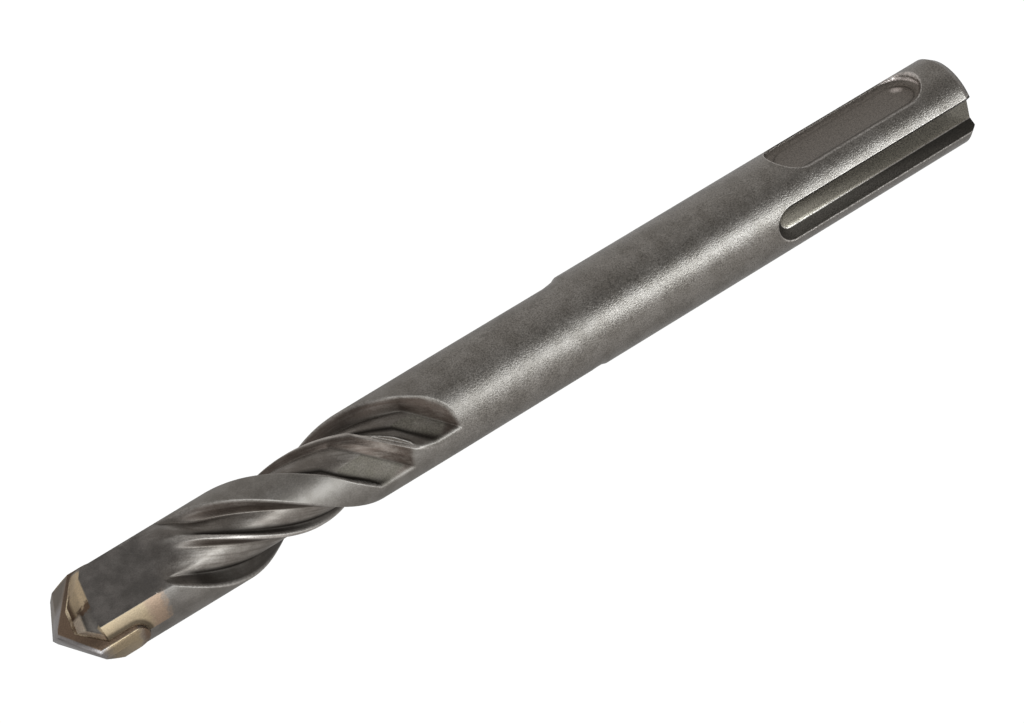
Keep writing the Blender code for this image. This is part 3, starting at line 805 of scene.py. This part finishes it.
steel_material, tree, shader = new_material("bead_blasted_steel", 1.0, STEEL_ROUGHNESS)
place = add_millimetres(tree)
x, y, z = split(tree, place)
patches = add_noise(tree, place, scale=0.9, detail=4.0)
ragged = calc(tree, "SUBTRACT", add_noise(tree, place, scale=2.6), 0.5)
rough_edge = calc(tree, "MULTIPLY", ragged, STAIN_RAGGED_BY)

# Streaks that run along the flutes: the place is turned back by the helix and drawn out along the bit
STREAK_STRETCH = 0.07
untwisted = tree.nodes.new("ShaderNodeVectorRotate")
untwisted.rotation_type = "Z_AXIS"
tree.links.new(place, untwisted.inputs["Vector"])
untwisted.inputs["Center"].default_value = (*BODY_CENTRE, 0.0)
above_phase = calc(tree, "SUBTRACT", z, PHASE_HEIGHT)
feed(tree, untwisted.inputs["Angle"], calc(tree, "MULTIPLY", above_phase, -DEGREES_PER_MM * DEG))
drawn = tree.nodes.new("ShaderNodeVectorMath")
drawn.operation = "MULTIPLY"
drawn.inputs[1].default_value = (1.0, 1.0, STREAK_STRETCH)
tree.links.new(untwisted.outputs["Vector"], drawn.inputs[0])
streaks = add_range(tree, add_noise(tree, drawn.outputs["Vector"], scale=2.6, roughness=0.6), 0.40, 0.66)

flute = read_field(tree, "flute")
slope = read_field(tree, "slope")
light = add_mix(tree, flute, STEEL_LIGHT, add_mix(tree, streaks, FLUTE_LIGHT, FLUTE_DARK))
dark = add_mix(tree, flute, STEEL_DARK, FLUTE_DARK)
light = add_mix(tree, slope, light, add_mix(tree, streaks, SLOPE_BROWN, SLOPE_LIGHT))
dark = add_mix(tree, slope, dark, SLOPE_BROWN)
# A painted highlight along the ridge's crest, broken up in patches
ridge = calc(tree, "MULTIPLY", read_field(tree, "ridge"), add_range(tree, patches, 0.30, 0.55, 0.5, 1.0))
light = add_mix(tree, ridge, light, RIDGE_HIGHLIGHT)
dark = add_mix(tree, ridge, dark, RIDGE_HIGHLIGHT)

head = place_group(tree, head_place).outputs
on_head = calc(tree, "MULTIPLY", add_range(tree, z, *HEAD_TONE_FROM),
               add_range(tree, head["Out"], *HEAD_TONE_OUT, 0.35, 1.0))
light = add_mix(tree, on_head, light, HEAD_GREY)
dark = add_mix(tree, on_head, dark, HEAD_DARK)
pocket = calc(tree, "MULTIPLY", read_field(tree, "floor"), add_range(tree, patches, 0.35, 0.65, 0.6, 1.0))
light = add_mix(tree, pocket, light, POCKET_FLOOR)
dark = add_mix(tree, pocket, dark, POCKET_FLOOR)

# Painted shade in the shank's grooves, with dirt on a drive groove's walls and in the flutes' hollows, and
# bare metal on a drive groove's floor: how far a place is outside a locking groove's outline, and how far
# from a drive groove's middle
lock_z = calc(tree, "SUBTRACT", z, calc(tree, "MINIMUM", calc(tree, "MAXIMUM", z, LOCK_LOW), LOCK_HIGH))
lock = calc(tree, "SUBTRACT", length(tree, x, lock_z), LOCK_HALF)
drive_z = calc(tree, "MAXIMUM", calc(tree, "SUBTRACT", z, DRIVE_ROUND_FROM), 0.0)
drive = length(tree, y, drive_z)
in_lock = add_range(tree, lock, *IN_LOCK, 1.0, 0.0)
in_drive_floor = add_range(tree, drive, DRIVE_FLOOR_HALF - 0.03, DRIVE_FLOOR_HALF + 0.03, 1.0, 0.0)
on_shank = add_range(tree, z, *GROOVES_END, 1.0, 0.0)
in_drive_floor = calc(tree, "MULTIPLY", in_drive_floor, on_shank)
drive_wall = between(tree, drive, DRIVE_FLOOR_HALF + 0.06, DRIVE_MOUTH_HALF - 0.07, 0.03)
drive_wall = calc(tree, "MULTIPLY", drive_wall, on_shank)
side_x = calc(tree, "MULTIPLY", x, calc(tree, "SIGN", y))
side_y = calc(tree, "ABSOLUTE", y)
facing_side = add_range(tree, side_x, *NEAR_RIM)
# A painted shade line inside a locking groove's near rim, on the near side only
lock_foot = calc(tree, "MULTIPLY", between(tree, lock, *FOOT_BAND), facing_side)
hollow = calc(tree, "MAXIMUM", calc(tree, "MULTIPLY", read_field(tree, "foot"), 0.97),
              calc(tree, "MULTIPLY", lock_foot, 0.5))
# Painted shade darkens a locking groove's floor; painted shade and dirt darken a drive groove's walls and the
# hollows
for mask, colour in ((in_lock, LOCK_FLOOR_SHADE), (in_drive_floor, DRIVE_FLOOR), (drive_wall, DRIVE_WALL_SHADE_AND_DIRT),
                     (hollow, HOLLOW_SHADE_AND_DIRT)):
    light = add_mix(tree, mask, light, colour)
    dark = add_mix(tree, mask, dark, colour)

# Two painted highlights in a locking groove, on its floor and on its low end wall, and painted shade
# under its far rim
spot_z = calc(tree, "SUBTRACT", z, GLINT_HEIGHT)
spot_across = calc(tree, "SUBTRACT", side_x, GLINT_SIDE)
spot_across = calc(tree, "MULTIPLY_ADD", spot_z, GLINT_LEAN, spot_across)
spot = length(tree, spot_across, spot_z)
painted_glint = calc(tree, "MULTIPLY", in_lock, add_range(tree, spot, *GLINT_REACH, 0.6, 0.0))
painted_end_glint = all_of(tree, add_range(tree, lock, *END_WALL_FROM), add_range(tree, lock, *END_WALL_TO, 1.0, 0.0),
                   add_range(tree, side_y, *END_GLINT_OUT), add_range(tree, z, *END_GLINT_TO, 1.0, 0.0),
                   add_range(tree, side_x, *END_GLINT_ACROSS, 1.0, 0.0))
far_rim_shade = all_of(tree, between(tree, lock, *FAR_RIM_SHADE_BAND), add_range(tree, side_x, *FAR_RIM, 0.6, 0.0),
                 on_shank)
for mask, colour in ((painted_glint, PAINTED_GLINT), (painted_end_glint, PAINTED_GLINT), (far_rim_shade, HOLLOW_SHADE_AND_DIRT)):
    light = add_mix(tree, mask, light, colour)
    dark = add_mix(tree, mask, dark, colour)

# Worn edges, also painted lighter as highlights: the grooves' lips, a locking groove's on its near side only,
# and the flutes' rims, broken up by nicks
nicks = add_range(tree, add_noise(tree, place, scale=3.2), 0.36, 0.56)
lock_lip = calc(tree, "MULTIPLY", between(tree, lock, *LIP_BAND), facing_side)
drive_lip = between(tree, drive, DRIVE_MOUTH_HALF - 0.05, DRIVE_MOUTH_HALF + 0.05, 0.03)
drive_foot = between(tree, drive, DRIVE_FLOOR_HALF - 0.01, DRIVE_FLOOR_HALF + 0.05, 0.02)
lips = calc(tree, "MAXIMUM", lock_lip, calc(tree, "MAXIMUM", drive_lip, drive_foot))
lips = calc(tree, "MULTIPLY", lips, on_shank)
rims = calc(tree, "MULTIPLY", read_field(tree, "crest"), 0.55)
worn_and_highlight = calc(tree, "MULTIPLY", calc(tree, "MAXIMUM", rims, lips), calc(tree, "MULTIPLY_ADD", nicks, 0.6, 0.4))
light = add_mix(tree, worn_and_highlight, light, WORN_EDGE_AND_HIGHLIGHT)
dark = add_mix(tree, worn_and_highlight, dark, WORN_EDGE_AND_HIGHLIGHT)

# Heat stains beside the plate: gold on the sides and cheeks, brown at their edges; painted shade round the
# slot, and a pale stain on the cheeks brightened as a painted highlight
ragged_across = calc(tree, "ADD", head["Across"], rough_edge)
near_side = add_range(tree, head["Across"], *NEAR_SIDE)
head_radius = length(tree, head["Across"], head["Out"])
off_flat = calc(tree, "MULTIPLY", add_range(tree, head["Out"], *FLAT_EDGE, 1.0, 0.0),
                add_range(tree, head_radius, *ROUND_FROM))
soft_z = calc(tree, "ADD", z, calc(tree, "MULTIPLY", rough_edge, 0.8))
side_gold = all_of(tree, near_side, off_flat, add_range(tree, soft_z, *SIDE_GOLD_FROM))
side_pink = all_of(tree, near_side, off_flat, between(tree, soft_z, *SIDE_PINK))
# Painted shade in a band round the slot
slot_shade = all_of(tree, between(tree, head["Slot"], *SLOT_SHADE), near_side,
                   add_range(tree, z, *SLOT_SHADE_FROM))
on_cheek = all_of(tree, add_range(tree, z, *CHEEK_FROM), add_range(tree, head["Out"], *CHEEK_EDGE, 1.0, 0.0),
                  add_range(tree, head_radius, *ROUND_RIM, 1.0, 0.0))
cheek_gold = all_of(tree, on_cheek, add_range(tree, ragged_across, *CHEEK_GOLD_TO, 1.0, 0.0))
cheek_brown = all_of(tree, on_cheek, between(tree, ragged_across, *CHEEK_BROWN))
low_brown = all_of(tree, on_cheek, between(tree, ragged_across, *LOW_BROWN),
                   add_range(tree, head["Out"], *LOW_BROWN_OUT, 1.0, 0.0))
# The pale band on the cheeks, brightened as a painted highlight
cheek_pale_highlight = all_of(tree, on_cheek, add_range(tree, head["Across"], *PALE_FROM),
                    add_range(tree, head["Out"], *PALE_OUT, 1.0, 0.0))
for mask, colour in ((side_gold, GOLD_STAIN), (side_pink, PINK_STAIN), (slot_shade, DARK_STAIN_AND_SHADE),
                     (cheek_gold, CHEEK_GOLD), (cheek_brown, BROWN_STAIN), (low_brown, BROWN_STAIN),
                     (cheek_pale_highlight, PALE_STAIN_AND_HIGHLIGHT)):
    light = add_mix(tree, mask, light, colour)
    dark = add_mix(tree, calc(tree, "MULTIPLY", mask, 0.9), dark, colour)

# The blasted grain is fainter on the milled parts, and the pockets' floors are speckled
milled = calc(tree, "MAXIMUM", flute, add_range(tree, z, *MILLED_FROM))
turned_roughness = calc(tree, "ADD", add_range(tree, z, *SHANK_TO_NECK, SHANK_ROUGHNESS, NECK_ROUGHNESS),
                        add_range(tree, z, *ROUGHER_FROM, 0.0, FLUTED_ROUGHER))
dull = calc(tree, "MAXIMUM", read_field(tree, "floor"), calc(tree, "MAXIMUM", hollow, drive_wall))
dull = calc(tree, "MULTIPLY_ADD", flute, FLUTE_DULLNESS, dull)
roughness = calc(tree, "MULTIPLY_ADD", dull, DULL_ROUGHER, turned_roughness)
depth = add_range(tree, milled, 0.0, 1.0, *GRAIN_DEPTHS)
specks = add_range(tree, milled, 0.0, 1.0, *GRAIN_SPECKS)
specks = calc(tree, "MULTIPLY_ADD", read_field(tree, "floor"), POCKET_SPECKS, specks)
finish_shader(tree, shader, light, dark, roughness, depth, specks)
steel.data.materials.clear()
steel.data.materials.append(steel_material)
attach(steel, "root")
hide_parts("steel_body")

# Brazing alloy: a thin film of golden filler metal that ran round the plate in its slot when the head
# was heated. It shows pale gold on the head's front, and dark brown at the head's sides.
BRAZE_GOLD = (0.85, 0.70, 0.50)
BRAZE_BROWN = (0.20, 0.14, 0.09)
BRAZE_ROUGHNESS = 0.42
BRAZE_SIDE = (4.1, 4.3)
CRISP_ANGLE = 30.0
braze = merged_copy(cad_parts["braze_filler"], "braze_film")
braze_material, tree, shader = new_material("golden_braze", 1.0, BRAZE_ROUGHNESS)
head = place_group(tree, head_place).outputs
on_side = add_range(tree, calc(tree, "ABSOLUTE", head["Across"]), *BRAZE_SIDE)
light = add_mix(tree, on_side, BRAZE_GOLD, DARK_STAIN_AND_SHADE)
finish_shader(tree, shader, light, BRAZE_BROWN, BRAZE_ROUGHNESS, depth=0.5, speckle=0.3)
braze.data.materials.append(braze_material)
braze.data.shade_smooth()
braze.data.set_sharp_from_angle(angle=CRISP_ANGLE * DEG)
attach(braze, "root")
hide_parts("braze_filler")

# Carbide plate: one sintered tungsten carbide plate, brazed across the head and then ground to a
# roof-shaped point with a short chisel edge. The brazing heat left its sides golden and its front brown.
CARBIDE_GREY = (0.36, 0.335, 0.325)
CARBIDE_DARK = (0.27, 0.245, 0.235)
CARBIDE_GOLD = (0.44, 0.345, 0.225)
CARBIDE_BROWN = (0.21, 0.145, 0.10)
CARBIDE_OLIVE = (0.20, 0.155, 0.11)
CARBIDE_ROUGHNESS = 0.34
PLATE_FRONT = (1.27, 1.36)
PLATE_SIDE = (4.72, 4.80)
OLIVE_TO = (-2.4, -1.2)
GOLDEN_HEIGHTS = (103.2, 106.9, 0.5)
BROWN_FOOT_TO = (102.9, 103.5)
SIDE_RAGGED_BY = 1.2
plate = merged_copy(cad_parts["carbide_tip"], "carbide_plate")
plate_material, tree, shader = new_material("ground_carbide", 1.0, CARBIDE_ROUGHNESS)
place = add_millimetres(tree)
x, y, z = split(tree, place)
head = place_group(tree, head_place).outputs
ragged = calc(tree, "SUBTRACT", add_noise(tree, place, scale=1.1), 0.5)
ragged_z = calc(tree, "ADD", z, calc(tree, "MULTIPLY", ragged, SIDE_RAGGED_BY))
front = add_range(tree, head["Out"], *PLATE_FRONT)
left_end = add_range(tree, x, *OLIVE_TO, 0.9, 0.0)
on_side = add_range(tree, calc(tree, "ABSOLUTE", head["Across"]), *PLATE_SIDE)
golden_side = all_of(tree, on_side, between(tree, ragged_z, *GOLDEN_HEIGHTS))
brown_foot = all_of(tree, on_side, add_range(tree, ragged_z, *BROWN_FOOT_TO, 1.0, 0.0))
brown_front = all_of(tree, front, add_range(tree, on_side, 0.0, 1.0, 1.0, 0.0))
light, dark = CARBIDE_GREY, CARBIDE_DARK
for mask, colour in ((left_end, CARBIDE_OLIVE), (golden_side, CARBIDE_GOLD), (brown_foot, CARBIDE_BROWN),
                     (brown_front, CARBIDE_BROWN)):
    light = add_mix(tree, mask, light, colour)
    dark = add_mix(tree, mask, dark, colour)
finish_shader(tree, shader, light, dark, CARBIDE_ROUGHNESS, depth=0.2, speckle=0.15)
plate.data.materials.append(plate_material)
plate.data.shade_smooth()
plate.data.set_sharp_from_angle(angle=CRISP_ANGLE * DEG)
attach(plate, "root")
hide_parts("carbide_tip")

# Stage: a plain pale floor. The steel doesn't mirror it and it holds back no light, so that the
# studio's lights alone shape the bit.
FLOOR_SIZE = 6.0
FLOOR_DROP = 0.02
FLOOR_COLOUR = (0.93, 0.93, 0.93)
FLOOR_ROUGHNESS = 0.9
bpy.ops.object.select_all(action="DESELECT")
bpy.ops.mesh.primitive_plane_add(size=FLOOR_SIZE, location=(0.0, 0.0, -FLOOR_DROP * MM))
floor = bpy.context.view_layer.objects.active
floor.name = "studio_floor"
floor_material, tree, shader = new_material("pale_floor", 0.0, FLOOR_ROUGHNESS)
shader.inputs["Base Color"].default_value = (*FLOOR_COLOUR, 1.0)
shader.inputs["Specular IOR Level"].default_value = 0.0
floor.data.materials.append(floor_material)
floor.visible_glossy = False
floor.visible_shadow = False

# Light: a pale surround, darker where the steel mirrors the camera's side of the studio, and a long
# strip light that draws the narrow bright band along the bit.
SURROUND = 1.12
SURROUND_RAMP = ((-180.0, 0.55), (-80.0, 0.36), (-40.0, 0.66), (10.0, 0.74), (36.0, 0.26), (62.0, 0.22),
                 (88.0, 0.48), (140.0, 0.52), (180.0, 0.60))
STRIP_AZIMUTH = 13.5
STRIP_DISTANCE = 0.6
STRIP_MIDDLE = 0.055
STRIP_DROP = 20.0
STRIP_WIDTH = 0.05
STRIP_LENGTH = 1.3
STRIP_POWER = 3.2
STRIP_COLOUR = (0.88, 0.95, 1.0)
world = bpy.data.worlds.new("studio")
bpy.context.scene.world = world
world.use_nodes = True
world.cycles.sampling_method = "NONE"
tree = world.node_tree
path = tree.nodes.new("ShaderNodeLightPath")
direction = tree.nodes.new("ShaderNodeTexCoord")
x, y, z = split(tree, direction.outputs["Generated"])
turn = add_range(tree, calc(tree, "ARCTAN2", y, x), -math.pi, math.pi)
ramp = tree.nodes.new("ShaderNodeValToRGB")
tree.links.new(turn, ramp.inputs["Fac"])
ramp.color_ramp.interpolation = "B_SPLINE"
while len(ramp.color_ramp.elements) < len(SURROUND_RAMP):
    ramp.color_ramp.elements.new(0.5)
for element, (angle, brightness) in zip(ramp.color_ramp.elements, SURROUND_RAMP):
    element.position = (angle + 180.0) / 360.0
    element.color = (brightness, brightness, brightness, 1.0)
seen = add_mix(tree, path.outputs["Is Glossy Ray"], (SURROUND, SURROUND, SURROUND), ramp.outputs["Color"])
tree.links.new(seen, tree.nodes["Background"].inputs["Color"])

strip_data = bpy.data.lights.new("strip_light", "AREA")
strip_data.shape = "RECTANGLE"
strip_data.size = STRIP_WIDTH
strip_data.size_y = STRIP_LENGTH
strip_data.energy = STRIP_POWER
strip_data.color = STRIP_COLOUR
strip = bpy.data.objects.new("strip_light", strip_data)
bpy.context.scene.collection.objects.link(strip)
strip_x = STRIP_DISTANCE * math.cos(STRIP_AZIMUTH * DEG)
strip_y = STRIP_DISTANCE * math.sin(STRIP_AZIMUTH * DEG)
strip.location = (strip_x, strip_y, STRIP_MIDDLE - STRIP_DISTANCE * math.tan(STRIP_DROP * DEG))
strip.rotation_euler = (90.0 * DEG, 0.0, (STRIP_AZIMUTH + 90.0) * DEG)
strip.visible_camera = False

# The strip lights only the bit, and the bit doesn't darken the floor
bit_pieces = bpy.data.collections.new("bit_pieces")
for piece in (steel, braze, plate):
    bit_pieces.objects.link(piece)
    piece.visible_diffuse = False
strip.light_linking.receiver_collection = bit_pieces

# Camera: where the photograph was taken from, with the bit lying across its picture.
CAMERA_LENS = 116.0
CAMERA_SENSOR = 36.0
CAMERA_SEES = (0.01, 20.0)
CAMERA_PLACE = (0.244993, 0.184873, 0.168668)
CAMERA_TURN = (-0.957839, 0.932875, -0.410152)
camera_data = bpy.data.cameras.new("camera")
camera_data.lens = CAMERA_LENS
camera_data.sensor_width = CAMERA_SENSOR
camera_data.clip_start, camera_data.clip_end = CAMERA_SEES
camera = bpy.data.objects.new("camera", camera_data)
bpy.context.scene.collection.objects.link(camera)
camera.location = CAMERA_PLACE
camera.rotation_euler = CAMERA_TURN
bpy.context.scene.camera = camera
bpy.context.scene.view_settings.view_transform = "Standard"
